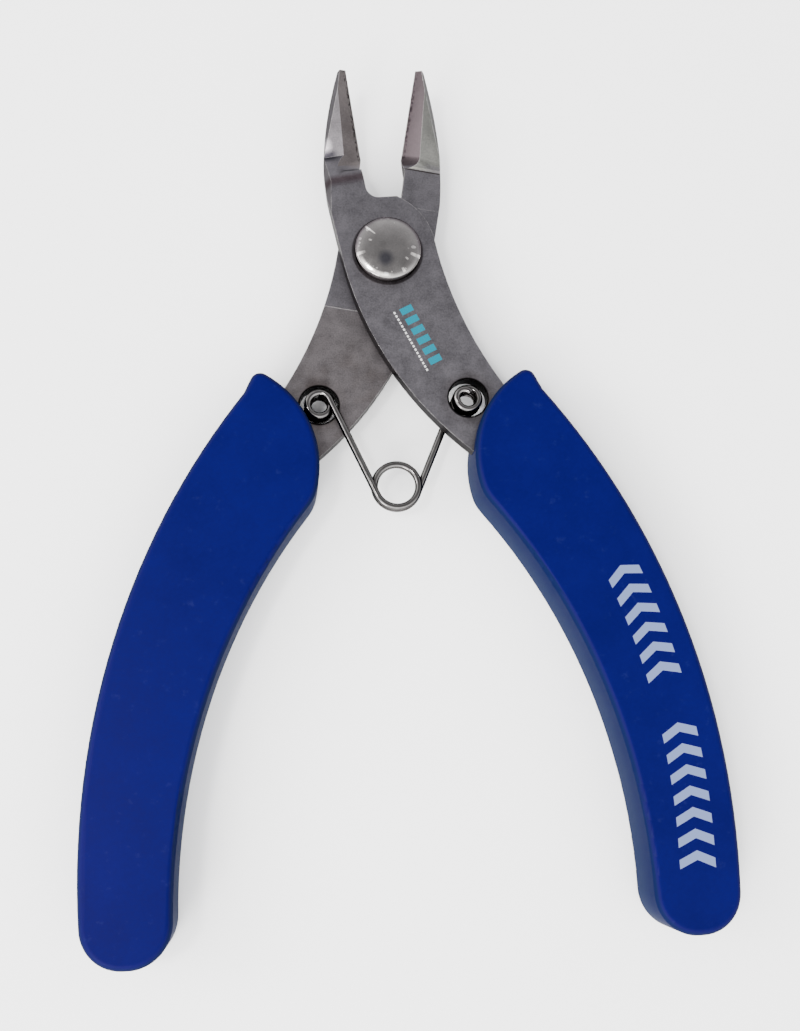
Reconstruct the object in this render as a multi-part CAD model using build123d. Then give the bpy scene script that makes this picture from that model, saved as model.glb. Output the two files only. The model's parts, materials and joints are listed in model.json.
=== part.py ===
from build123d import *
import os
from math import atan2, cos, degrees, radians, sin, sqrt

os.makedirs("parts", exist_ok=True)

# Lap-joint sprue nippers, resting open. Millimetres. The pivot axis is Z through the origin, the lap
# between the blades is at z = 0 and the jaws point along +Y. Both halves are drawn as they lie when the
# nippers are shut, as the front half (left jaw, right handle), and are then mirrored and swung open.

# ---- driving dimensions ----
half_opening = 10.4           # each half swings this many degrees from shut to rest
plate = 2.3                   # blade thickness
lap_gap = 0.02                # each lap seat's distance from the plane between the blades
seat_step = 0.08              # the lap seat stands this proud of the plate around it
seat_back, seat_front = -8.7, 8.5
jaw_reach = 27.9              # pivot to tip
jaw_tip_width = 1.3
jaw_belly = (-5.1, 18.5)      # on the curved outer side of the jaw
neck_half_width = 6.6
neck_top_y, neck_low_y = 9.5, 1.0
relief_half_width = 0.8       # half the slot left between the shut jaws behind the cutting edges
relief_low_y, relief_top_y = 10.2, 14.0
crotch = (0.6, 8.35)          # where the boss meets the jaw's curved throat
throat_middle = (-0.45, 8.95)
boss_top, boss_middle = (3.2, 8.05), (6.1, 4.6)
heel_y = 16.3                 # rear end of the cutting edges
edge_gap = 0.03               # half the gap between the shut cutting edges

# The head is bent towards the front. Its front face rises from a crease, its back face is flush-cutting.
front_crease_y, front_slope = 14.8, 0.38
back_point_y, back_point_z, back_slope = 16.7, -1.43, 0.458
# The front jaw steps down from its plate to the crease, and the plate's underside bends up under it.
step_top_y, step_foot_y = 12.0, 16.5
under_bend_y, under_foot_y = 11.6, 16.5
bevel_upper_x = -2.3          # the cutting bevel meets the front face here, half way along the edge
bevel_middle_y = 20.0
bevel_run_out_radius = 2.2
bevel_run_out = 1.2           # the grinder reaches this far behind the heel
grinder = (60.0, 30.0, 8.0)   # length, width and depth of a ground cut, larger than the jaw
side_bevel_start = (-5.9, 15.8)
side_bevel_apex = (-2.45, 23.7)
side_bevel_drop = 1.7         # fall per millimetre outwards

bore_radius = 2.5
bore_clearance = 0.05
head_radius, head_rim, head_dome = 4.7, 1.3, 0.75
head_lift = 0.03              # the head clears the front blade, which turns under it
tail_radius, tail_height = 4.1, 0.7

spring_hole = (6.2, -23.3)    # in the shut front half
spring_hole_radius = 2.7
wire_radius = 0.5
coil_radius = 3.05            # wire centre line
end_ring_radius = 1.6         # wire centre line
arm_height = 0.65             # each arm's distance from the lap plane
arm_span = 15.7               # hole centre to coil centre
coil_sweep = 300              # degrees of the coil that belong to each half
end_ring_sweep = 290
sunk_turns, ring_pitch = 3, 0.95

grip_thickness = 9.0
grip_edge_radius = 0.9
grip_apex_radius, grip_heel_radius, grip_end_radius = 1.4, 6.0, 5.4
grip_outer = (-71.0, -71.0, 99.0)      # centre x, centre y, radius
grip_inner = (-68.0, -77.8, 83.2)
grip_apex = (15.4, -20.9)
grip_shoulder = (8.2, -25.4)
grip_heel_y, grip_outer_top_y = -37.5, -24.5
grip_inner_end_y, grip_outer_end_y = -98.2, -100.0

# The bare part of each handle follows two circles, and the bar inside the grip two more.
tang_outer = (64.0, 0.0, 57.0)         # centre x, centre y, radius
tang_inner = (43.0, 1.0, 49.5)
tang_outer_y, tang_inner_y = -24.0, -34.0
bar_centre = (-69.5, -74.0)
bar_radius, bar_half_width = 91.5, 3.2
bar_outer_y, bar_inner_y = -36.0, -40.0
bar_end_y = -82.0

beyond_tip, beyond_handles = 32.0, -90.0
beyond_width = 60.0
beyond_height = 20.0


def front_face(y):
    return front_slope * (y - front_crease_y)


def back_face(y):
    return back_point_z + back_slope * (y - back_point_y)


def circle_x(circle, y, side):
    """X where a circle (centre x, centre y, radius) crosses y, on its left (-1) or right (+1) side."""
    return circle[0] + side * sqrt(circle[2] ** 2 - (y - circle[1]) ** 2)


def swing_front(shape):
    return shape.rotate(Axis.Z, half_opening)


def swing_rear(shape):
    return mirror(shape, about=Plane.YZ).rotate(Axis.Z, -half_opening)


# ---- blades ----
def blade_outline():
    """Plan of the shut front half: left jaw, pivot boss, and the tang that runs into the right grip."""
    bar_outer = (*bar_centre, bar_radius + bar_half_width)
    bar_inner = (*bar_centre, bar_radius - bar_half_width)

    def on(circle, y, side):
        return (circle_x(circle, y, side), y)

    tip_inner = (-edge_gap, jaw_reach)
    tip_outer = (-jaw_tip_width, jaw_reach - 0.2)
    neck_top = (-neck_half_width, neck_top_y)
    neck_low = on(tang_inner, neck_low_y, -1)
    inner_joint = on(tang_inner, tang_inner_y, -1)
    inner_bar = on(bar_inner, bar_inner_y, 1)
    inner_end = on(bar_inner, bar_end_y, 1)
    outer_end = on(bar_outer, bar_end_y, 1)
    outer_bar = on(bar_outer, bar_outer_y, 1)
    outer_joint = on(tang_outer, tang_outer_y, -1)
    boss_low = on(tang_outer, 0.0, -1)
    relief_low = (-relief_half_width - 0.1, relief_low_y)
    relief_top = (-relief_half_width, relief_top_y)
    heel = (-edge_gap, heel_y)
    return make_face([
        Line(tip_inner, tip_outer),
        ThreePointArc(tip_outer, jaw_belly, neck_top),
        Line(neck_top, neck_low),
        ThreePointArc(neck_low, on(tang_inner, (neck_low_y + tang_inner_y) / 2, -1), inner_joint),
        Line(inner_joint, inner_bar),
        ThreePointArc(inner_bar, on(bar_inner, (bar_inner_y + bar_end_y) / 2, 1), inner_end),
        Line(inner_end, outer_end),
        ThreePointArc(outer_end, on(bar_outer, (bar_outer_y + bar_end_y) / 2, 1), outer_bar),
        Line(outer_bar, outer_joint),
        ThreePointArc(outer_joint, on(tang_outer, tang_outer_y / 2, -1), boss_low),
        ThreePointArc(boss_low, boss_middle, boss_top),
        Line(boss_top, crotch),
        ThreePointArc(crotch, throat_middle, relief_low),
        Line(relief_low, relief_top),
        Line(relief_top, heel),
        Line(heel, tip_inner),
    ])


def side_profile(points):
    """A closed outline of (y, z) points, extruded across the whole width of the nippers."""
    sketch = make_face(Plane.YZ * Polyline(*points, close=True))
    return extrude(sketch, amount=beyond_width, both=True)


def front_profile():
    top = lap_gap + plate
    low = lap_gap + seat_step
    return side_profile([
        (beyond_handles, top), (step_top_y, top), (step_foot_y, front_face(step_foot_y)),
        (beyond_tip, front_face(beyond_tip)), (beyond_tip, back_face(beyond_tip)),
        (under_foot_y, back_face(under_foot_y)), (under_bend_y, low), (seat_front, low),
        (seat_front, lap_gap), (seat_back, lap_gap), (seat_back, low), (beyond_handles, low),
    ])


def rear_profile():
    high = -lap_gap - seat_step
    bottom = -lap_gap - plate
    crease = front_crease_y + high / front_slope
    flush = back_point_y + (bottom - back_point_z) / back_slope
    return side_profile([
        (beyond_handles, high), (seat_back, high), (seat_back, -lap_gap), (seat_front, -lap_gap),
        (seat_front, high), (crease, high), (beyond_tip, front_face(beyond_tip)),
        (beyond_tip, back_face(beyond_tip)), (flush, bottom), (beyond_handles, bottom),
    ])


def cutting_bevel():
    """What the grinder takes from the front of the cutting edge, with a rounded run-out at the heel."""
    edge_direction = Vector(0, 1, back_slope).normalized()
    upper = Vector(bevel_upper_x, bevel_middle_y, front_face(bevel_middle_y))
    lower = Vector(0, bevel_middle_y, back_face(bevel_middle_y))
    normal = (upper - lower).cross(edge_direction).normalized()
    if normal.Z < 0:
        normal = normal * -1
    start_y = heel_y - bevel_run_out
    start = Vector(0, start_y, back_face(start_y))
    ground = Plane(origin=start, x_dir=edge_direction, z_dir=normal)
    block = Box(*grinder, align=(Align.MIN, Align.CENTER, Align.MIN))
    corner = block.edges().filter_by(Axis.Y).group_by(Axis.Z)[0].sort_by(Axis.X)[0]
    return ground * fillet(corner, bevel_run_out_radius)


def side_bevel():
    """The long facet along the outer side of the jaw, meeting the cutting bevel at its apex."""
    start = Vector(*side_bevel_start, front_face(side_bevel_start[1]))
    apex = Vector(*side_bevel_apex, front_face(side_bevel_apex[1]))
    along = (apex - start).normalized()
    outward = Vector(-along.Y, along.X, 0).normalized()
    fall = (outward - Vector(0, 0, side_bevel_drop)).normalized()
    normal = along.cross(fall).normalized()
    if normal.Z < 0:
        normal = normal * -1
    ground = Plane(origin=start, x_dir=along, z_dir=normal)
    return ground * Box(*grinder, align=(Align.CENTER, Align.CENTER, Align.MIN))


def blade(profile, bore):
    body = extrude(blade_outline(), amount=beyond_height, both=True) & profile
    body = body - cutting_bevel() - side_bevel()
    body = body - Cylinder(bore, beyond_height)
    body = body - Pos(*spring_hole) * Cylinder(spring_hole_radius, beyond_height)
    return body


def front_blade():
    return swing_front(blade(front_profile(), bore_radius + bore_clearance))


def rear_blade():
    return swing_rear(blade(rear_profile(), bore_radius))


# ---- pivot ----
def pivot_rivet():
    """Domed head in front, shank through both bores, and a lower peened tail behind."""
    under = lap_gap + plate + head_lift
    rim = under + head_rim
    dome_radius = (head_radius ** 2 + head_dome ** 2) / (2 * head_dome)
    back = -lap_gap - plate
    head = Cylinder(head_radius, head_rim + head_dome, align=(Align.CENTER, Align.CENTER, Align.MIN))
    dome = Pos(0, 0, head_rim + head_dome - dome_radius) * Sphere(dome_radius)
    head = Pos(0, 0, under) * (head & dome)
    shank = Pos(0, 0, back) * Cylinder(bore_radius, rim - back, align=(Align.CENTER, Align.CENTER, Align.MIN))
    tail = Cylinder(tail_radius, tail_height, align=(Align.CENTER, Align.CENTER, Align.MAX))
    tail = fillet(tail.edges().group_by(Axis.Z)[0], tail_height * 0.8)
    return head + shank + Pos(0, 0, back) * tail


# ---- grips ----
def grip_outline():
    """Plan of the right grip when shut: two long arcs, a round end and a pointed shoulder."""
    heel = (circle_x(grip_inner, grip_heel_y, 1), grip_heel_y)
    inner_middle_y = (grip_heel_y + grip_inner_end_y) / 2
    inner_end = (circle_x(grip_inner, grip_inner_end_y, 1), grip_inner_end_y)
    outer_end = (circle_x(grip_outer, grip_outer_end_y, 1), grip_outer_end_y)
    outer_middle_y = (grip_outer_end_y + grip_outer_top_y) / 2
    outer_top = (circle_x(grip_outer, grip_outer_top_y, 1), grip_outer_top_y)
    face = make_face([
        ThreePointArc(heel, (circle_x(grip_inner, inner_middle_y, 1), inner_middle_y), inner_end),
        Line(inner_end, outer_end),
        ThreePointArc(outer_end, (circle_x(grip_outer, outer_middle_y, 1), outer_middle_y), outer_top),
        Line(outer_top, grip_apex),
        ThreePointArc(grip_apex, grip_shoulder, heel),
    ])
    by_height = face.vertices().sort_by(Axis.Y)
    face = fillet(by_height[:2], grip_end_radius)
    by_height = face.vertices().sort_by(Axis.Y)
    face = fillet(by_height[-1], grip_apex_radius)
    corner = face.vertices().sort_by_distance(Vector(*heel))[0]
    return fillet(corner, grip_heel_radius)


def grip():
    body = extrude(grip_outline(), amount=grip_thickness / 2, both=True)
    rims = body.edges().group_by(Axis.Z)
    return fillet(rims[0] + rims[-1], grip_edge_radius)


def right_grip(inside):
    return swing_front(grip()) - inside


def left_grip(inside):
    return swing_rear(grip()) - inside


# ---- return spring ----
def tilt(value):
    """The angle in degrees whose sine is the value."""
    return degrees(atan2(value, sqrt(1 - value * value)))


def around(centre, radius, angle):
    return centre + Vector(cos(radians(angle)), sin(radians(angle))) * radius


def spring_points():
    """At rest: the centre of the rear blade's spring hole, and the centre of the coil."""
    hole = Vector(-spring_hole[0], spring_hole[1]).rotate(Axis.Z, -half_opening)
    coil = Vector(0, hole.Y - sqrt(arm_span ** 2 - hole.X ** 2))
    return hole, coil


def wire_centre_line():
    """The left half's flat centre line: end ring, straight arm, and its share of the coil."""
    hole, coil = spring_points()
    line = coil - hole
    lean = degrees(atan2(line.Y, line.X))
    # The arm passes the end ring on its right and the coil on its left.
    arm = lean - tilt((end_ring_radius + coil_radius) / line.length)
    ring_angle = arm + 90
    coil_angle = arm - 90
    ring = ThreePointArc(
        around(hole, end_ring_radius, ring_angle + end_ring_sweep),
        around(hole, end_ring_radius, ring_angle + end_ring_sweep / 2),
        around(hole, end_ring_radius, ring_angle),
    )
    straight = Line(ring @ 1, around(coil, coil_radius, coil_angle))
    turn = ThreePointArc(
        straight @ 1,
        around(coil, coil_radius, coil_angle + coil_sweep / 2),
        around(coil, coil_radius, coil_angle + coil_sweep),
    )
    return Wire([ring, straight, turn])


def spring_half():
    """The left half at rest, with a second ring that sits down inside the rear blade's hole."""
    hole = spring_points()[0]
    path = wire_centre_line()
    start = Plane(origin=path @ 0, z_dir=path % 0)
    wire = sweep(start * Circle(wire_radius), path=path)
    wire = Pos(0, 0, arm_height) * wire
    for turn in range(1, sunk_turns + 1):
        ring = Torus(end_ring_radius, wire_radius)
        wire += Pos(hole.X, hole.Y, arm_height - turn * ring_pitch) * ring
    return wire


def spring_left():
    return spring_half()


def spring_right():
    """The left half turned over about the nippers' long axis."""
    return spring_half().rotate(Axis.Y, 180)


def resting_shift(shapes):
    """Moves the origin from the pivot to the middle of the underside that the nippers lie on."""
    box = Compound(children=shapes).bounding_box()
    return Pos(-box.center().X, -box.center().Y, -box.min.Z)


front = front_blade()
rear = rear_blade()
nippers = {
    "front_blade": front,
    "right_grip": right_grip(front),
    "rear_blade": rear,
    "left_grip": left_grip(rear),
    "pivot_rivet": pivot_rivet(),
    "spring_left": spring_left(),
    "spring_right": spring_right(),
}
shift = resting_shift([shape.moved(Location()) for shape in nippers.values()])
print("pivot", shift.position)
print("spring hole and coil", [point + shift.position for point in spring_points()])
for name, shape in nippers.items():
    export_step(shift * shape, f"parts/{name}.step")
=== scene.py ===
import json
from math import asin, atan2, cos, pi, radians, sin, sqrt

import bmesh
import bpy
from bpy.props import FloatProperty, FloatVectorProperty, IntProperty, PointerProperty
from mathutils import Matrix, Vector


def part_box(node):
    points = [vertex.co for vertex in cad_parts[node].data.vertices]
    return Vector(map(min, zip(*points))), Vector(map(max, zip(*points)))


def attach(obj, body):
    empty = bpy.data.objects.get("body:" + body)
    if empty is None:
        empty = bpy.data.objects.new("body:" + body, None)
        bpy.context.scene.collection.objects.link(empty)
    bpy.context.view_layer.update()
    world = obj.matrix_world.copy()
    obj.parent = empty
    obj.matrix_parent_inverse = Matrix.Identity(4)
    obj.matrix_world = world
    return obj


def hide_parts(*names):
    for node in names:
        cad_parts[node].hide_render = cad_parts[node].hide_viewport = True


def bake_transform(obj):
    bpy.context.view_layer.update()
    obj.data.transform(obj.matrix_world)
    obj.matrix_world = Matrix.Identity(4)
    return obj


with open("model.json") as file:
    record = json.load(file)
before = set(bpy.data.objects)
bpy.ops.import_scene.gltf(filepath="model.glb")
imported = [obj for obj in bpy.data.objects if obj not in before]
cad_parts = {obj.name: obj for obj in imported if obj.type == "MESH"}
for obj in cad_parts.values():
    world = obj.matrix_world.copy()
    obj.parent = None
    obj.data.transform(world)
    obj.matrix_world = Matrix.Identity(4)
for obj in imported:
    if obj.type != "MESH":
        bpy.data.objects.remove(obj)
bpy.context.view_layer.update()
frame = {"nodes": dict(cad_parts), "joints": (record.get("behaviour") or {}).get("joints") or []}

bl_info = {
    "name": "Sprue Nippers",
    "version": (1, 0, 0),
    "blender": (4, 5, 0),
    "location": "View3D > Sidebar > Nippers",
    "description": "Builds lap-joint sprue nippers round their packed frame",
    "category": "Add Mesh",
}

JOINTS = {joint["name"]: joint for joint in frame["joints"]}
PIVOT = Vector(JOINTS["jaw_hinge"]["pos_m"])
LEFT_EYE = Vector(JOINTS["spring_eye"]["pos_m"])
COIL = Vector(JOINTS["spring_coil"]["pos_m"])
HALF_OPENING = radians(JOINTS["jaw_hinge"]["range_deg"][1]) / 2
MM = 0.001
UP = Vector((0, 0, 1))
CEILING_WAY = (0.05, 0.25, 0.97)  # middle of the dimmer ceiling
LIT_WAY = (-0.58, -0.78, 0.23)  # the walls this way are the brightest
SKIRTING, DIM_WALL, WALL = (1.2, 1.2, 1.22, 1), (2.0, 2.0, 2.05, 1), (8.0, 8.0, 8.0, 1)
CEILING = (0.85, 0.85, 0.87, 1)
FLOOR_REACH = 3.0
CAMERA_PLACE = (-16.0, -70.1, 156.7)  # mm from the pivot
CAMERA_AIM = (0.29, -37.78, 0)  # mm from the pivot
CAMERA_ROLL, CAMERA_LENS = 0.045, 40.94
LAMP_AIM = (0, 0, 0.0045)
LAMPS = [  # name, place, size, power, colour
    ("front_panel", (-0.30, -0.42, 0.36), 0.20, 3.0, (1.0, 0.98, 0.96)),
    ("left_panel", (-0.55, 0.05, 0.30), 0.20, 2.0, (1.0, 0.97, 0.97)),
    ("upper_panel", (-0.26, -0.04, 0.62), 0.09, 2.2, (1.0, 0.99, 0.98)),
]

# Places on a half, in mm from the pivot with the jaws shut. Along the tool + is towards the tip, and
# across it + is towards the other jaw.
# These places hold painted light: painted shade at the bend, the foot and along the crease, painted
# highlights at GLINT and beside the crease, a painted shadow round the rivet head at SEAT_RADIUS, and
# painted shade on the spring hole's wall within BORE_RADIUS
JAW_FOOT_Y, JAW_Y = 13.8, 14.4
BEND_Y, FOOT_Y = 12.0, 16.6
CREASE_Y, CREASE_GLINT_Y = 14.45, 14.75
FOOT_ACROSS = -4.9
GLINT = (-5.4, 18.1)
SEAT_RADIUS, SEAT_END_Y = 4.85, -8.4
SPRING_HOLE = (6.2, -23.3)
BORE_RADIUS = 2.85
CHIPS_Y = 15.5

# The printed row on the front blade, in the same mm
ROW_START, ROW_END = (0.55, -8.6), (3.26, -18.05)
ROW_LENGTH = 9.83
BAR_PERIOD, BAR_SHARE, BAR_HALF_WIDTH = 1.64, 0.60, 0.9
DOT_PERIOD, DOT_SHARE, DOT_HALF_WIDTH, DOT_OFF = 0.55, 0.6, 0.11, 1.75
CYAN_INK, WHITE_INK = (0.0, 0.100, 0.140, 1), (0.40, 0.40, 0.40, 1)

# The chevrons on the right grip follow the bow of its middle: mm from the bow's centre, and degrees
BOW_EAST, BOW_NORTH = 69.5, 74.4
BOW_LOW_ANGLE, BOW_HIGH_ANGLE = -10.0, 15.0
BOW_LOW_RADIUS, BOW_HIGH_RADIUS = 91.1, 93.0
CHEVRON_SLANT, CHEVRON_HALF_WIDTH = 0.28, 2.35
CHEVRON_PERIOD, CHEVRON_SHARE, CHEVRON_START = 1.70, 0.44, 9.84
CHEVRON_ROWS = ((10.51, 5.05), (-3.94, 5.95))  # middle angle and half length
CHEVRON_INK = (0.10, 0.13, 0.23, 1)
GRIP_TOP = 0.009

# The rivet, in metres: radius and height of its tail's outline above its lowest point, and its head
TAIL_PROFILE = ((0.0, 0.0), (0.0032, 0.0), (0.00375, 0.00018), (0.0041, 0.0005), (0.0041, 0.0007))
SHANK_RADIUS = 0.0025
PLATE_TOP = 0.00235  # above the plane between the blades
UNDER_EDGE = 0.00012
DOME_HEIGHT = 0.00075
SHOULDER_STEPS, DOME_STEPS = 6, 16

# The return spring
EYE_TURNS, STEPS_A_TURN = 2.95, 40
HOOK_CENTRE, HOOK_CLIMB = 0.36, 0.3  # shares of the way to the cut end, and of the eye's pitch
HOOK_ANGLE = pi * 0.8
COIL_STEPS = 110

# Painted highlights standing for the lamps' reflections in the rivet's head
PAINTED_HEAD_HIGHLIGHTS = [  # on the rivet's head: angle, half spread, radius in mm, half length
    (135, 1.2, 3.5, 0.8), (160, 1.8, 2.7, 0.10), (-167, 2.0, 4.0, 0.5), (-122, 20.0, 4.15, 0.12),
    (-19, 2.2, 4.0, 0.6), (-36, 1.6, 3.1, 0.12), (-60, 1.8, 4.0, 0.20),
]

# Front tints: bevel, outer, wall, bend and foot are painted shade, rising, low_rising and glint painted
# highlights, ring a painted shadow round the rivet head and bore painted shade on the spring hole's wall;
# hole darkens the plate round the spring hole and chips are dark chips on the cutting edge
FRONT_TINTS = {  # what each zone of the blade multiplies the steel's colour by
    "bevel": (0.95, 0.89, 0.81), "rising": (1.26, 1.235, 1.19), "low_rising": (1.5, 1.5, 1.5),
    "outer": (0.45, 0.45, 0.44), "wall": (0.50, 0.48, 0.48), "bend": (0.50, 0.42, 0.43),
    "foot": (0.25, 0.25, 0.28), "glint": (4.0, 4.0, 4.0), "ring": (0.35, 0.33, 0.33),
    "hole": (0.62, 0.60, 0.58), "bore": (0.03, 0.03, 0.03), "chips": (0.25, 0.25, 0.25),
}
# Rear tints: bevel, rising, outer and wall are painted shade, crease a painted shade line along the fold,
# crease_glint a painted highlight beside it and bore painted shade on the spring hole's wall; tang lightens
# the tang, stain and chips are stains and chips, and hole darkens the plate round the spring hole
REAR_TINTS = {
    "bevel": (0.317, 0.274, 0.27), "rising": (0.717, 0.755, 0.65), "outer": (0.60, 0.61, 0.57),
    "wall": (0.50, 0.48, 0.48), "crease": (0.35, 0.33, 0.30), "crease_glint": (1.7, 1.7, 1.6),
    "tang": (1.10, 1.06, 1.00), "stain": (0.82, 0.80, 0.78), "hole": (0.62, 0.60, 0.58),
    "bore": (0.03, 0.03, 0.03), "chips": (0.30, 0.28, 0.30),
}


# ---------------------------------------------------------------- sizes and colours

class NipperSizes(bpy.types.PropertyGroup):
    edge_rounding: FloatProperty(
        name="Blade edge", description="Width of the rounding on the blades' edges",
        default=0.00015, min=0.00005, max=0.0006, unit="LENGTH")
    edge_segments: IntProperty(
        name="Edge segments", description="Facets across a rounded blade edge", default=3, min=1, max=6)
    head_shoulder: FloatProperty(
        name="Rivet shoulder", description="Radius between the rivet head's side and its dome",
        default=0.0005, min=0.0001, max=0.0008, unit="LENGTH")
    wire_radius: FloatProperty(
        name="Wire radius", description="Radius of the return spring's wire",
        default=0.0005, min=0.0003, max=0.0006, unit="LENGTH")
    wire_facets: IntProperty(
        name="Wire facets", description="Facets round the spring wire", default=20, min=8, max=40)
    eye_radius: FloatProperty(
        name="Eye radius", description="Wire centre line of the spring's end rings",
        default=0.0016, min=0.001, max=0.002, unit="LENGTH")
    eye_pitch: FloatProperty(
        name="Eye pitch", description="Climb of an end ring in one turn",
        default=0.00103, min=0.0009, max=0.0012, unit="LENGTH")
    coil_radius: FloatProperty(
        name="Coil radius", description="Wire centre line of the spring's coil",
        default=0.00305, min=0.002, max=0.004, unit="LENGTH")
    arm_height: FloatProperty(
        name="Arm height", description="Distance of each spring arm from the plane between the blades",
        default=0.00065, min=0.0005, max=0.001, unit="LENGTH")


class NipperColours(bpy.types.PropertyGroup):
    steel: FloatVectorProperty(
        name="Blade steel", description="Ground steel of both blades", subtype="COLOR",
        default=(0.106, 0.100, 0.109), min=0, max=1)
    rivet: FloatVectorProperty(
        name="Rivet", description="Polished rivet head", subtype="COLOR",
        default=(0.20, 0.19, 0.186), min=0, max=1)
    wire: FloatVectorProperty(
        name="Spring wire", description="Bright drawn wire", subtype="COLOR",
        default=(0.100, 0.096, 0.094), min=0, max=1)
    grip: FloatVectorProperty(
        name="Grip", description="Royal blue of the grips", subtype="COLOR",
        default=(0.0022, 0.0011, 0.043), min=0, max=1)


# ---------------------------------------------------------------- shader groups

def new_group(name, inputs, outputs):
    """A shader node group with float or colour sockets, and its input and output nodes."""
    group = bpy.data.node_groups.new(name, "ShaderNodeTree")
    for label, kind, default in inputs:
        socket = group.interface.new_socket(label, in_out="INPUT", socket_type=kind)
        socket.default_value = default
    for label, kind in outputs:
        group.interface.new_socket(label, in_out="OUTPUT", socket_type=kind)
    return group, group.nodes.new("NodeGroupInput"), group.nodes.new("NodeGroupOutput")


def node(tree, kind, links=(), **values):
    """A node with its properties set. Each input is linked to a socket, or set to a value."""
    made = tree.nodes.new(kind)
    for key, value in values.items():
        setattr(made, key, value)
    for key, source in links:
        if isinstance(source, bpy.types.NodeSocket):
            tree.links.new(source, made.inputs[key])
        else:
            made.inputs[key].default_value = source
    return made


def maths(tree, operation, *values):
    """One sum on sockets or numbers."""
    return node(tree, "ShaderNodeMath", list(enumerate(values)), operation=operation).outputs[0]


def blend_colour(tree, factor, first, second):
    """The first colour where the factor is 0, the second where it is 1."""
    mixed = node(tree, "ShaderNodeMix", [(0, factor), (6, first), (7, second)], data_type="RGBA")
    return mixed.outputs[2]


def remap(tree, value, low, high, to_low=0.0, to_high=1.0):
    """The value carried from one range to another, and held at its ends."""
    links = [(0, value), (1, low), (2, high), (3, to_low), (4, to_high)]
    return node(tree, "ShaderNodeMapRange", links, clamp=True).outputs[0]


def separate(tree, vector):
    """The x, y and z sockets of a vector."""
    return node(tree, "ShaderNodeSeparateXYZ", [(0, vector)]).outputs


def coordinates(tree, kind):
    """A piece's Object or Normal coordinates, or the room's Generated direction."""
    return node(tree, "ShaderNodeTexCoord").outputs[kind]


def dot(tree, first, second):
    """How far two directions agree."""
    made = node(tree, "ShaderNodeVectorMath", [(0, first), (1, second)], operation="DOT_PRODUCT")
    return made.outputs["Value"]


def noise(tree, place, scale, detail, **more):
    """Grey noise on a place, about 0.5 in the middle."""
    links = [("Vector", place), ("Scale", scale), ("Detail", detail), *more.items()]
    return node(tree, "ShaderNodeTexNoise", links).outputs[0]


def edge_wear_group():
    """Mask of the outer edges, broken up by noise: 1 on a rubbed edge, 0 on a face."""
    group, given, result = new_group(
        "edge_wear",
        [("Width", "NodeSocketFloat", 0.0003), ("Breakup", "NodeSocketFloat", 0.5),
         ("Scale", "NodeSocketFloat", 900.0)],
        [("Mask", "NodeSocketFloat")],
    )
    face = node(group, "ShaderNodeNewGeometry").outputs["Normal"]
    rounded = node(group, "ShaderNodeBevel", [("Radius", given.outputs["Width"])], samples=6).outputs[0]
    edge = remap(group, dot(group, face, rounded), 0.995, 0.90)
    speckle = noise(group, coordinates(group, "Object"), given.outputs["Scale"], 3.0)
    gaps = maths(group, "MULTIPLY", remap(group, speckle, 0.35, 0.6, 1.0, 0.0), given.outputs["Breakup"])
    mask = maths(group, "MULTIPLY", edge, maths(group, "SUBTRACT", 1.0, gaps))
    group.links.new(mask, result.inputs["Mask"])
    return group


def mottle_group():
    """Cloudy patches with fine grain over them, about 0.5 in the middle."""
    group, given, result = new_group(
        "mottle",
        [("Cloud", "NodeSocketFloat", 250.0), ("Grain", "NodeSocketFloat", 4000.0),
         ("Share", "NodeSocketFloat", 0.4)],
        [("Value", "NodeSocketFloat")],
    )
    place = coordinates(group, "Object")
    cloud = noise(group, place, given.outputs["Cloud"], 4.0, Roughness=0.6)
    grain = noise(group, place, given.outputs["Grain"], 2.0)
    mixed = node(group, "ShaderNodeMix", [(0, given.outputs["Share"]), (2, cloud), (3, grain)]).outputs[0]
    group.links.new(mixed, result.inputs["Value"])
    return group


def use_group(tree, name, maker, **values):
    """The output of a shared group with this material's own values. The first use builds the group."""
    group = bpy.data.node_groups.get(name) or maker()
    made = tree.nodes.new("ShaderNodeGroup")
    made.node_tree = group
    for key, value in values.items():
        made.inputs[key].default_value = value
    return made.outputs[0]


def new_material(name, **principled):
    """A material with its tree and its Principled shader, whose sockets get the given values."""
    material = bpy.data.materials.new(name)
    material.use_nodes = True
    tree = material.node_tree
    shader = tree.nodes["Principled BSDF"]
    for key, value in principled.items():
        shader.inputs[key.replace("_", " ")].default_value = value
    return material, tree, shader


def near(tree, value, middle, reach, fade):
    """1 within reach of the middle, falling to 0 over the fade."""
    away = maths(tree, "ABSOLUTE", maths(tree, "SUBTRACT", value, middle))
    return remap(tree, away, reach, reach + fade, 1.0, 0.0)


def both(tree, *masks):
    """Where all the masks are 1."""
    product = masks[0]
    for mask in masks[1:]:
        product = maths(tree, "MULTIPLY", product, mask)
    return product


def distance(tree, x, y, middle):
    """How far a point of the plane lies from the middle."""
    offsets = [maths(tree, "SUBTRACT", value, centre) for value, centre in zip((x, y), middle)]
    squares = [maths(tree, "MULTIPLY", offset, offset) for offset in offsets]
    return maths(tree, "SQRT", maths(tree, "ADD", *squares))


def spot(tree, x, y, middle, reach, fade):
    """A round patch about a point of the blade."""
    return near(tree, distance(tree, x, y, middle), 0.0, reach, fade)


def tint(tree, mask, colour, multiplier):
    """The colour multiplied where the mask is 1."""
    return node(tree, "ShaderNodeMix", [(0, mask), (6, colour), (7, (*multiplier, 1))],
                data_type="RGBA", blend_type="MULTIPLY").outputs[2]


def shut_place(tree, turn):
    """Millimetres from the pivot along the half's own axes, as it lies with the jaws shut."""
    back = Matrix.Rotation(-turn, 3, "Z")
    moved = node(tree, "ShaderNodeMapping", [
        ("Vector", coordinates(tree, "Object")), ("Rotation", (0, 0, -turn)), ("Scale", (1 / MM,) * 3),
        ("Location", back @ PIVOT / -MM)])
    parts = separate(tree, moved.outputs[0])
    return parts[0], parts[1]


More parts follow.
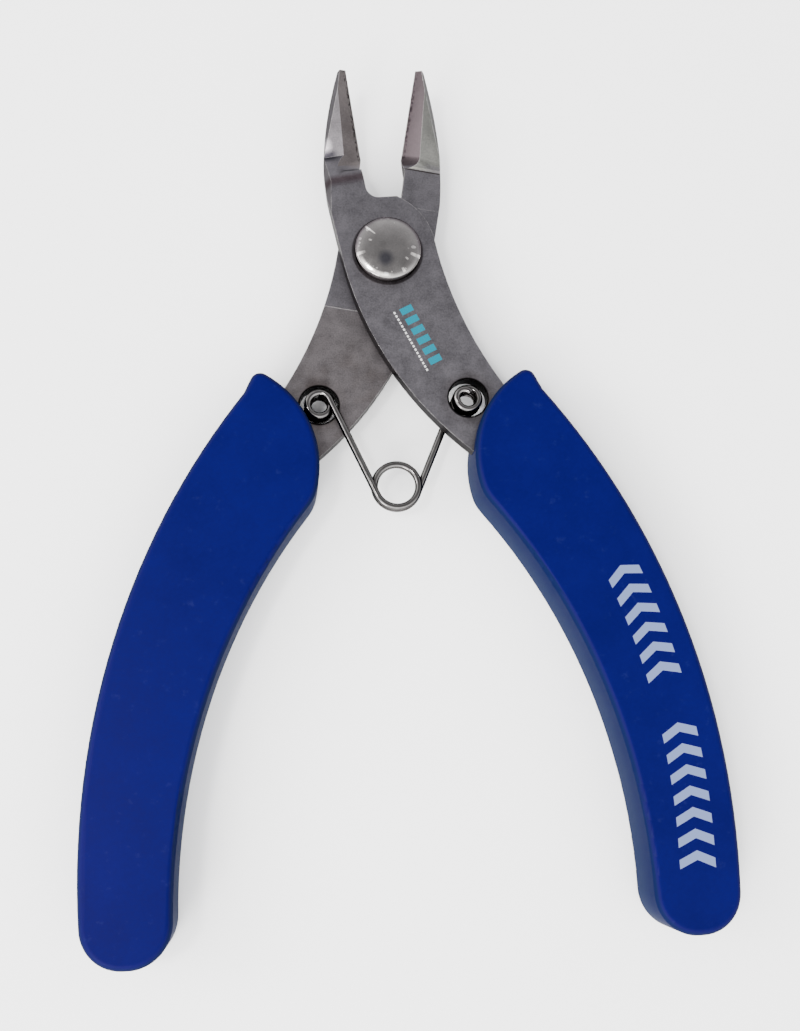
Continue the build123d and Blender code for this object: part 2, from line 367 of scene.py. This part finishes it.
def along_and_off(tree, x, y, start, end):
    """Distances of a point along a line and to its right-hand side."""
    way = (Vector(end) - Vector(start)).normalized()
    moved = [maths(tree, "SUBTRACT", value, origin) for value, origin in zip((x, y), start)]
    along = maths(tree, "ADD", *[maths(tree, "MULTIPLY", m, w) for m, w in zip(moved, way)])
    off = maths(tree, "SUBTRACT", *[maths(tree, "MULTIPLY", m, w) for m, w in zip(moved, (way.y, way.x))])
    return along, off


def dashes(tree, along, period, share):
    """Repeating marks: 1 over a share of each period."""
    return maths(tree, "LESS_THAN", maths(tree, "FRACT", maths(tree, "DIVIDE", along, period)), share)


def cloudy_colour(tree, clouds, ends, colour, dark, light):
    """The colour darkened and lightened in clouds, and its light end."""
    darkest = [dark * c for c in colour] + [1]
    lightest = [min(1, light * c) for c in colour] + [1]
    return blend_colour(tree, remap(tree, clouds, *ends), darkest, lightest), lightest


def finish_surface(tree, shader, shade, rough, strength, depth, height):
    """Links a shader's colour and roughness, and a bump of some depth in metres from a height."""
    tree.links.new(shade, shader.inputs["Base Color"])
    tree.links.new(rough, shader.inputs["Roughness"])
    bump = node(tree, "ShaderNodeBump", [("Strength", strength), ("Distance", depth), ("Height", height)])
    tree.links.new(bump.outputs[0], shader.inputs["Normal"])


def blade_zones(tree, side, x, y, stains, specks):
    """Makers of the masks of a blade's facets, flats and marks, by name; most of them place painted shade
    and painted highlights.
    """
    inward = maths(tree, "MULTIPLY", x, side)
    facing = separate(tree, coordinates(tree, "Normal"))
    across = maths(tree, "MULTIPLY", facing[0], side)
    bevel = remap(tree, across, 0.25, 0.45)
    jaw = remap(tree, y, JAW_FOOT_Y, JAW_Y)
    rising = both(tree, remap(tree, facing[1], -0.18, -0.30), remap(tree, bevel, 0, 1, 1.0, 0.0), jaw)
    outer_half = remap(tree, inward, 0.5, -0.5)
    return {
        # bevel, rising, outer, wall and low_rising pick facets and walls by facing, for painted shade and
        # painted highlights
        "bevel": lambda: both(tree, bevel, jaw),
        "rising": lambda: rising,
        "outer": lambda: remap(tree, across, -0.25, -0.55),
        "wall": lambda: remap(tree, facing[2], 0.40, 0.15),
        "low_rising": lambda: both(tree, rising, remap(tree, y, 21.0, 16.5)),
        # bend and foot place painted shade on the jaw, glint a painted highlight
        "bend": lambda: both(tree, near(tree, y, BEND_Y, 0.25, 0.9), outer_half),
        "foot": lambda: both(tree, near(tree, y, FOOT_Y, 0.35, 0.7),
                             near(tree, inward, FOOT_ACROSS, 0.6, 1.5)),
        "glint": lambda: spot(tree, inward, y, GLINT, 0.4, 1.1),
        # crease places a painted shade line along the fold, crease_glint a painted highlight beside it
        "crease": lambda: both(tree, near(tree, y, CREASE_Y, 0.07, 0.06), outer_half),
        "crease_glint": lambda: both(tree, near(tree, y, CREASE_GLINT_Y, 0.10, 0.12),
                                     remap(tree, inward, -1.0, -1.6)),
        # ring places a painted shadow round the rivet head
        "ring": lambda: near(tree, distance(tree, x, y, (0, 0)), SEAT_RADIUS, 0.12, 0.18),
        "tang": lambda: remap(tree, y, SEAT_END_Y, SEAT_END_Y - 0.6),
        "stain": lambda: both(tree, remap(tree, y, -12.0, -17.0), remap(tree, stains, 0.42, 0.62)),
        "hole": lambda: both(tree, spot(tree, inward, y, SPRING_HOLE, 2.9, 1.4),
                             remap(tree, stains, 0.30, 0.55, 0.4, 1.0)),
        # bore places painted shade on the spring hole's wall
        "bore": lambda: spot(tree, inward, y, SPRING_HOLE, BORE_RADIUS, 0.15),
        "chips": lambda: both(tree, near(tree, inward, 0.0, 0.45, 0.1),
                              remap(tree, y, CHIPS_Y, CHIPS_Y + 1), remap(tree, specks, 0.50, 0.56)),
    }


def print_row(tree, x, y, specks, shade):
    """Six cyan bars beside a row of white dots: the colour, and the mask of all the ink."""
    along, off = along_and_off(tree, x, y, ROW_START, ROW_END)
    inside = both(tree, maths(tree, "GREATER_THAN", along, 0.0),
                  maths(tree, "LESS_THAN", along, ROW_LENGTH))
    bars = both(tree, inside, dashes(tree, along, BAR_PERIOD, BAR_SHARE),
                near(tree, off, 0.0, BAR_HALF_WIDTH, 0.05))
    dots = both(tree, inside, dashes(tree, along, DOT_PERIOD, DOT_SHARE),
                near(tree, off, DOT_OFF, DOT_HALF_WIDTH, 0.05))
    ink = remap(tree, specks, 0.30, 0.42, 0.93, 1.0)
    for marks, paint in ((bars, CYAN_INK), (dots, WHITE_INK)):
        shade = blend_colour(tree, both(tree, marks, ink), shade, paint)
    return shade, maths(tree, "MAXIMUM", bars, dots)


def blade_material(name, side, colour, tints):
    """Ground plate with cloudy grey flats, ground facets at the jaw and bright rubbed edges. The facets,
    walls, bend, foot, crease, seat ring and bore get painted shade and painted highlights by facing and
    place.

    side is 1 for the blade whose jaw lies to the left, which is printed, and -1 for the other."""
    material, tree, shader = new_material(
        name, Metallic=1.0, Specular_IOR_Level=0.1, Specular_Tint=(0.5, 0.5, 0.5, 1))
    x, y = shut_place(tree, side * HALF_OPENING)
    clouds = use_group(tree, "mottle", mottle_group, Cloud=420.0, Grain=5200.0, Share=0.5)
    edges = use_group(tree, "edge_wear", edge_wear_group, Width=0.00016, Breakup=0.8, Scale=1500.0)
    place = coordinates(tree, "Object")
    stretched = node(tree, "ShaderNodeMapping", [
        ("Vector", place), ("Rotation", (0, 0, side * -HALF_OPENING)), ("Scale", (400, 9000, 400))])
    lines = noise(tree, stretched.outputs[0], 1.0, 3.0)
    specks = noise(tree, place, 2600.0, 2.0)
    stains = noise(tree, place, 300.0, 5.0)

    shade, light = cloudy_colour(tree, clouds, (0.36, 0.64), colour, 0.80, 1.22)
    shade = blend_colour(tree, remap(tree, lines, 0.4, 0.75, 0.0, 0.30), shade, light)
    zones = blade_zones(tree, side, x, y, stains, specks)
    # Most tints are painted shade and painted highlights on the facets, walls, jaw, crease, seat ring and
    # bore; stains and chips are the steel's own marks
    masks = {zone: zones[zone]() for zone in tints}
    for zone, multiplier in tints.items():
        shade = tint(tree, masks[zone], shade, multiplier)
    rubbed = both(tree, edges, remap(tree, masks["bore"], 0, 1, 0.6, 0.0))
    shade = blend_colour(tree, rubbed, shade, (0.45, 0.44, 0.43, 1))
    if side == 1:
        shade, painted = print_row(tree, x, y, specks, shade)
        tree.links.new(remap(tree, painted, 0, 1, 1.0, 0.0), shader.inputs["Metallic"])
    finish_surface(tree, shader, shade, remap(tree, clouds, 0.3, 0.7, 0.32, 0.44), 0.10, 0.00002, lines)
    return material


def bright_metal(name, colour, roughness, cloud, rim):
    """Polished steel with faint smears: the material, its tree, its shader and its colour for more work.

    rim is how much a surface seen at a glancing angle still mirrors."""
    material, tree, shader = new_material(name, Metallic=1.0, Specular_Tint=(rim, rim, rim, 1))
    clouds = use_group(tree, "mottle", mottle_group, Cloud=cloud, Grain=6000.0, Share=0.3)
    shade = cloudy_colour(tree, clouds, (0.35, 0.65), colour, 0.8, 1.15)[0]
    rough = remap(tree, clouds, 0.3, 0.7, roughness - 0.04, roughness + 0.06)
    finish_surface(tree, shader, shade, rough, 0.12, 0.00004, clouds)
    return material, tree, shader, shade


def rivet_material(name, colour):
    """Polished head with painted shade on its far rim, a painted dark reflection below its middle, and
    painted highlights in specks and streaks.
    """
    material, tree, shader, shade = bright_metal(name, colour, 0.13, 300.0, 0.15)
    x, y = shut_place(tree, 0.0)
    speck_noise = noise(tree, coordinates(tree, "Object"), 1100.0, 1.0)
    away = distance(tree, x, y, (0, 0))
    # A painted dark reflection below the middle of the dome
    dark_reflection = spot(tree, x, y, (-0.5, -1.9), 0.5, 0.9)
    shade = tint(tree, dark_reflection, shade, (0.42, 0.43, 0.50))
    # Painted highlight specks in a ring on the dome
    highlight_specks = both(tree, near(tree, away, 3.5, 0.5, 0.4), remap(tree, speck_noise, 0.64, 0.67))
    shade = tint(tree, highlight_specks, shade, (2.4, 2.4, 2.4))
    # Painted shade on the far rim of the head
    far_rim_shade = both(tree, remap(tree, away, 3.9, 4.4), remap(tree, y, -2.5, 0.5))
    shade = tint(tree, far_rim_shade, shade, (0.45, 0.42, 0.46))
    angle = maths(tree, "DEGREES", maths(tree, "ARCTAN2", y, x))
    broken = remap(tree, speck_noise, 0.35, 0.50, 0.4, 1.0)
    # Painted highlights in streaks round the head
    for way, spread, radius, reach in PAINTED_HEAD_HIGHLIGHTS:
        highlight = both(tree, near(tree, angle, way, spread, spread), near(tree, away, radius, reach, 0.2))
        shade = tint(tree, both(tree, highlight, broken), shade, (4.0, 4.0, 3.9))
    tree.links.new(shade, shader.inputs["Base Color"])
    return material


def chevrons(tree, height):
    """Two rows of chevrons that follow the bow of the right grip, on its top only."""
    x, y = shut_place(tree, HALF_OPENING)
    east = maths(tree, "ADD", x, BOW_EAST)
    north = maths(tree, "ADD", y, BOW_NORTH)
    angle = maths(tree, "DEGREES", maths(tree, "ARCTAN2", north, east))
    middle = remap(tree, angle, BOW_LOW_ANGLE, BOW_HIGH_ANGLE, BOW_LOW_RADIUS, BOW_HIGH_RADIUS)
    off = maths(tree, "SUBTRACT", distance(tree, x, y, (-BOW_EAST, -BOW_NORTH)), middle)
    lean = maths(tree, "MULTIPLY", maths(tree, "ABSOLUTE", off), CHEVRON_SLANT)
    slanted = maths(tree, "ADD", angle, lean)
    rows = [near(tree, slanted, row_middle, reach, 0.02) for row_middle, reach in CHEVRON_ROWS]
    return both(tree, maths(tree, "ADD", *rows),
                dashes(tree, maths(tree, "ADD", slanted, CHEVRON_START), CHEVRON_PERIOD, CHEVRON_SHARE),
                near(tree, off, 0.0, CHEVRON_HALF_WIDTH, 0.05),
                near(tree, height, GRIP_TOP, 0.0002, 0.0001))


def grip_material(name, colour, printed):
    """Satin moulded plastic with a very fine pebble, faint scuffs, a painted grey sheen on the walls and,
    if asked, rows of pale chevrons.
    """
    material, tree, shader = new_material(name, Metallic=0.0, IOR=1.10)
    clouds = use_group(tree, "mottle", mottle_group, Cloud=120.0, Grain=2500.0, Share=0.35)
    shade = cloudy_colour(tree, clouds, (0.35, 0.65), colour, 0.90, 1.10)[0]
    place = coordinates(tree, "Object")
    height = separate(tree, place)[2]
    scuffs = noise(tree, place, 700.0, 6.0, Roughness=0.7)
    shade = blend_colour(tree, remap(tree, scuffs, 0.60, 0.72, 0.0, 0.12), shade, (0.02, 0.035, 0.11, 1))
    if printed:
        shade = blend_colour(tree, chevrons(tree, height), shade, CHEVRON_INK)
    # The walls get a painted grey sheen in place of the top's blue, painted lighter towards the bottom
    facing = separate(tree, coordinates(tree, "Normal"))[2]
    low = remap(tree, height, 0.0068, 0.0025)
    wall = blend_colour(tree, low, (0.0035, 0.0060, 0.030, 1), (0.0080, 0.0130, 0.036, 1))
    shade = blend_colour(tree, remap(tree, facing, 0.95, 0.65), shade, wall)
    # The walls mirror less than the flat top.
    tree.links.new(remap(tree, facing, 0.4, 0.9, 0.05, 0.5), shader.inputs["Specular IOR Level"])
    finish_surface(tree, shader, shade, remap(tree, clouds, 0.3, 0.7, 0.38, 0.46), 0.12, 0.00003, clouds)
    return material


# ---------------------------------------------------------------- mesh helpers

def finish_piece(name, mesh_source, material, body, replaced):
    """Turns a bmesh into a named piece that rides on a body, if one is given, and stands for CAD nodes."""
    mesh = bpy.data.meshes.new(name)
    mesh_source.to_mesh(mesh)
    mesh_source.free()
    mesh.materials.append(material)
    mesh.shade_smooth()
    mesh.set_sharp_from_angle(angle=radians(32))
    piece = bpy.data.objects.new(name, mesh)
    bpy.context.scene.collection.objects.link(piece)
    if body:
        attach(piece, body)
    if replaced:
        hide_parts(*replaced)
    return piece


def merged_copy(cad_node):
    """The CAD node's shape as one joined mesh, its flat faces dissolved to single faces."""
    copy = bmesh.new()
    copy.from_mesh(frame["nodes"][cad_node].data)
    bmesh.ops.remove_doubles(copy, verts=copy.verts, dist=0.0000005)
    bmesh.ops.dissolve_limit(copy, angle_limit=radians(0.4), verts=copy.verts, edges=copy.edges)
    bmesh.ops.recalc_face_normals(copy, faces=copy.faces)
    return copy


def round_edges(piece, width, segments):
    """Rounds the piece's sharp edges with a live bevel."""
    bevel = piece.modifiers.new("rounded_edges", "BEVEL")
    bevel.width = width
    bevel.segments = segments
    bevel.limit_method = "ANGLE"
    bevel.angle_limit = radians(30)
    bevel.harden_normals = True


def ring_of_wire(bm, centre, along, radius, facets):
    """A circle of vertices and edges, square to the wire's direction."""
    turn = along.to_track_quat("Z", "Y").to_matrix().to_4x4()
    made = bmesh.ops.create_circle(bm, cap_ends=False, radius=radius, segments=facets,
                                   matrix=Matrix.Translation(centre) @ turn)
    edges = {edge for vert in made["verts"] for edge in vert.link_edges}
    return list(made["verts"]) + list(edges)


def bend_wire(bm, ring, centre, angle, climb, steps):
    """Carries the wire's end round a centre by an angle, climbing as it goes."""
    made = bmesh.ops.spin(bm, geom=ring, cent=centre, axis=UP, dvec=UP * (climb / steps),
                          angle=angle, steps=steps, use_merge=False, use_duplicate=False)
    return [g for g in made["geom_last"] if not isinstance(g, bmesh.types.BMFace)]


def run_wire(bm, ring, move):
    """Draws the wire out straight from a ring, to an open end that meets the coil's open end."""
    edges = [g for g in ring if isinstance(g, bmesh.types.BMEdge)]
    made = bmesh.ops.extrude_edge_only(bm, edges=edges)
    verts = [g for g in made["geom"] if isinstance(g, bmesh.types.BMVert)]
    bmesh.ops.translate(bm, verts=verts, vec=move)


def pale_room():
    """A room with bright pale walls, a dimmer ceiling and a dim skirting."""
    world = bpy.data.worlds.new("pale_room")
    world.use_nodes = True
    tree = world.node_tree
    direction = coordinates(tree, "Generated")
    height = separate(tree, direction)[2]
    lit = blend_colour(tree, remap(tree, dot(tree, direction, LIT_WAY), -0.4, 0.8), DIM_WALL, WALL)
    walls = blend_colour(tree, remap(tree, height, 0.15, 0.50), SKIRTING, lit)
    room = blend_colour(tree, remap(tree, dot(tree, direction, CEILING_WAY), 0.70, 0.93), walls, CEILING)
    tree.links.new(room, tree.nodes["Background"].inputs["Color"])
    return world


# ---------------------------------------------------------------- operators

class NIPPERS_OT_blades(bpy.types.Operator):
    """Round the edges of both blades and give them ground steel"""

    bl_idname = "nippers.blades"
    bl_label = "Blades"

    def execute(self, context):
        sizes = context.scene.nipper_sizes
        colours = context.scene.nipper_colours
        front = blade_material("front_ground_steel", 1, list(colours.steel), FRONT_TINTS)
        rear = blade_material("rear_ground_steel", -1, list(colours.steel), REAR_TINTS)
        blades = [("front_blade", "front_half", front, "blade_steel"),
                  ("rear_blade", "rear_half", rear, "rear_blade_steel")]
        for cad_node, body, material, slot in blades:
            piece = finish_piece(cad_node + "_plate", merged_copy(cad_node), material, body,
                                 [cad_node])
            round_edges(piece, sizes.edge_rounding, sizes.edge_segments)
        return {"FINISHED"}


class NIPPERS_OT_rivet(bpy.types.Operator):
    """Turn the pivot rivet with its domed head and peened tail"""

    bl_idname = "nippers.rivet"
    bl_label = "Pivot rivet"

    def execute(self, context):
        sizes = context.scene.nipper_sizes
        low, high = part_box("pivot_rivet")
        shoulder = sizes.head_shoulder
        head_radius = (high.x - low.x) / 2
        head_under = PIVOT.z + PLATE_TOP
        side_top = high.z - DOME_HEIGHT - shoulder * 0.7
        dome_radius = (head_radius ** 2 + DOME_HEIGHT ** 2) / (2 * DOME_HEIGHT)
        dome_reach = head_radius - shoulder
        profile = [(radius, low.z + height) for radius, height in TAIL_PROFILE]
        profile += [(SHANK_RADIUS, low.z + TAIL_PROFILE[-1][1]), (SHANK_RADIUS, head_under),
                    (head_radius - UNDER_EDGE, head_under), (head_radius, head_under + UNDER_EDGE),
                    (head_radius, side_top)]
        for step in range(1, SHOULDER_STEPS):
            angle = step / SHOULDER_STEPS * (pi / 2 - 0.3)
            profile.append((head_radius - shoulder * (1 - cos(angle)), side_top + shoulder * sin(angle)))
        for step in range(1, DOME_STEPS + 1):
            radius = dome_reach * (1 - step / DOME_STEPS)
            profile.append((radius, high.z - dome_radius + sqrt(dome_radius ** 2 - radius ** 2)))
        bm = bmesh.new()
        verts = [bm.verts.new((PIVOT.x + radius, PIVOT.y, height)) for radius, height in profile]
        edges = [bm.edges.new(pair) for pair in zip(verts, verts[1:])]
        bmesh.ops.spin(bm, geom=verts + edges, cent=PIVOT, axis=UP, angle=2 * pi, steps=96, use_merge=True,
                       use_duplicate=False)
        bmesh.ops.remove_doubles(bm, verts=bm.verts, dist=0.000001)
        bmesh.ops.recalc_face_normals(bm, faces=bm.faces)
        material = rivet_material("polished_rivet_steel", list(context.scene.nipper_colours.rivet))
        finish_piece("rivet", bm, material, "rear_half", ["pivot_rivet"])
        return {"FINISHED"}


class NIPPERS_OT_spring(bpy.types.Operator):
    """Wind the return spring: an eye in each blade, two arms and the coil between them"""

    bl_idname = "nippers.spring"
    bl_label = "Return spring"

    def execute(self, context):
        sizes = context.scene.nipper_sizes
        material = bright_metal("drawn_wire", list(context.scene.nipper_colours.wire), 0.10, 900.0, 0.05)[0]
        line = COIL - LEFT_EYE
        arm_angle = atan2(line.y, line.x) - asin((sizes.eye_radius + sizes.coil_radius) / line.length)
        along = Vector((cos(arm_angle), sin(arm_angle), 0))
        side = Vector((-along.y, along.x, 0))
        lift = UP * sizes.arm_height
        eye_touch = LEFT_EYE + side * sizes.eye_radius + lift
        coil_touch = COIL - side * sizes.coil_radius + lift

        def half(name, body, turned):
            """One eye and arm, turned over for the front blade, where the cut end is turned inwards."""
            bm = bmesh.new()
            ring = ring_of_wire(bm, eye_touch, along, sizes.wire_radius, sizes.wire_facets)
            tail = bend_wire(bm, ring, LEFT_EYE, 2 * pi * EYE_TURNS, -sizes.eye_pitch * EYE_TURNS,
                             round(STEPS_A_TURN * EYE_TURNS))
            if turned:
                corners = [vert.co for vert in tail if isinstance(vert, bmesh.types.BMVert)]
                end = sum(corners, Vector()) / len(corners)
                inner = LEFT_EYE.lerp(end, HOOK_CENTRE)
                inner.z = end.z
                tail = bend_wire(bm, tail, inner, HOOK_ANGLE, -sizes.eye_pitch * HOOK_CLIMB, 16)
            ends = [edge for edge in tail if isinstance(edge, bmesh.types.BMEdge)]
            bmesh.ops.edgeloop_fill(bm, edges=ends)
            run_wire(bm, ring, coil_touch - eye_touch)
            bmesh.ops.remove_doubles(bm, verts=bm.verts, dist=0.0000005)
            if turned:
                bmesh.ops.rotate(bm, cent=COIL, matrix=Matrix.Rotation(pi, 3, "Y"), verts=bm.verts)
            bmesh.ops.recalc_face_normals(bm, faces=bm.faces)
            finish_piece(name, bm, material, body, [body])

        half("spring_left_arm", "spring_left", False)
        half("spring_right_arm", "spring_right", True)

        start_angle = atan2(-side.y, -side.x)
        end_angle = pi - start_angle
        sweep = (end_angle - start_angle) % (2 * pi) + 2 * pi
        bm = bmesh.new()
        ring = ring_of_wire(bm, coil_touch, along, sizes.wire_radius, sizes.wire_facets)
        bend_wire(bm, ring, COIL, sweep, -2 * sizes.arm_height, COIL_STEPS)
        bmesh.ops.recalc_face_normals(bm, faces=bm.faces)
        coil = finish_piece("spring_coil", bm, material, None, [])
        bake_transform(coil)
        return {"FINISHED"}


class NIPPERS_OT_grips(bpy.types.Operator):
    """Give both handle grips their moulded plastic"""

    bl_idname = "nippers.grips"
    bl_label = "Grips"

    def execute(self, context):
        blue = list(context.scene.nipper_colours.grip)
        grips = [("right_grip", "front_half", grip_material("printed_grip_plastic", blue, True)),
                 ("left_grip", "rear_half", grip_material("plain_grip_plastic", blue, False))]
        for cad_node, body, material in grips:
            piece = finish_piece(cad_node + "_sleeve", merged_copy(cad_node), material, body, [cad_node])
            flatten = piece.modifiers.new("flat_faces", "WEIGHTED_NORMAL")
            flatten.keep_sharp = True
        return {"FINISHED"}


class NIPPERS_OT_stage(bpy.types.Operator):
    """Lay the pale floor, place the soft lights and aim the camera"""

    bl_idname = "nippers.stage"
    bl_label = "Stage"

    def execute(self, context):
        scene = context.scene
        bm = bmesh.new()
        bmesh.ops.create_grid(bm, x_segments=1, y_segments=1, size=FLOOR_REACH)
        mesh = bpy.data.meshes.new("floor")
        bm.to_mesh(mesh)
        bm.free()
        floor = bpy.data.objects.new("floor", mesh)
        scene.collection.objects.link(floor)
        material, tree, shader = new_material("pale_floor", Roughness=0.9)
        shade = use_group(tree, "mottle", mottle_group, Cloud=3.0, Grain=60.0, Share=0.2)
        tone = blend_colour(tree, shade, (0.90, 0.90, 0.90, 1), (0.94, 0.94, 0.94, 1))
        tree.links.new(tone, shader.inputs["Base Color"])
        mesh.materials.append(material)

        scene.world = pale_room()
        for name, place, size, power, glow in LAMPS:
            lamp = bpy.data.lights.new(name, "AREA")
            lamp.size = size
            lamp.energy = power
            lamp.color = glow
            lamp_object = bpy.data.objects.new(name, lamp)
            lamp_object.location = place
            aim = Vector(LAMP_AIM) - Vector(place)
            lamp_object.rotation_euler = aim.to_track_quat("-Z", "Y").to_euler()
            scene.collection.objects.link(lamp_object)

        place = PIVOT + Vector(CAMERA_PLACE) * MM
        aim = PIVOT + Vector(CAMERA_AIM) * MM
        back = (place - aim).normalized()
        right = Vector((sin(CAMERA_ROLL), cos(CAMERA_ROLL), 0)).cross(back).normalized()
        axes = Matrix((right, back.cross(right), back)).transposed().to_4x4()
        camera = bpy.data.cameras.new("camera")
        camera.sensor_width = 36
        camera.lens = CAMERA_LENS
        camera.clip_start = 0.005
        camera_object = bpy.data.objects.new("camera", camera)
        camera_object.matrix_world = Matrix.Translation(place) @ axes
        scene.collection.objects.link(camera_object)
        scene.camera = camera_object
        return {"FINISHED"}


class NIPPERS_PT_panel(bpy.types.Panel):
    """Shows the nippers' sizes, colours and building steps"""

    bl_label = "Sprue Nippers"
    bl_space_type = "VIEW_3D"
    bl_region_type = "UI"
    bl_category = "Nippers"

    def draw(self, context):
        layout = self.layout
        for group in (context.scene.nipper_sizes, context.scene.nipper_colours):
            for key in group.__annotations__:
                layout.prop(group, key)
        for operator in OPERATORS:
            layout.operator(operator.bl_idname)


OPERATORS = (NIPPERS_OT_blades, NIPPERS_OT_rivet, NIPPERS_OT_spring, NIPPERS_OT_grips, NIPPERS_OT_stage)
CLASSES = (NipperSizes, NipperColours, *OPERATORS, NIPPERS_PT_panel)


def register():
    for item in CLASSES:
        bpy.utils.register_class(item)
    bpy.types.Scene.nipper_sizes = PointerProperty(type=NipperSizes)
    bpy.types.Scene.nipper_colours = PointerProperty(type=NipperColours)


def unregister():
    del bpy.types.Scene.nipper_sizes
    del bpy.types.Scene.nipper_colours
    for item in reversed(CLASSES):
        bpy.utils.unregister_class(item)


def main():
    register()
    bpy.ops.nippers.blades()
    bpy.ops.nippers.rivet()
    bpy.ops.nippers.spring()
    bpy.ops.nippers.grips()
    bpy.ops.nippers.stage()


if __name__ == "__main__":
    main()
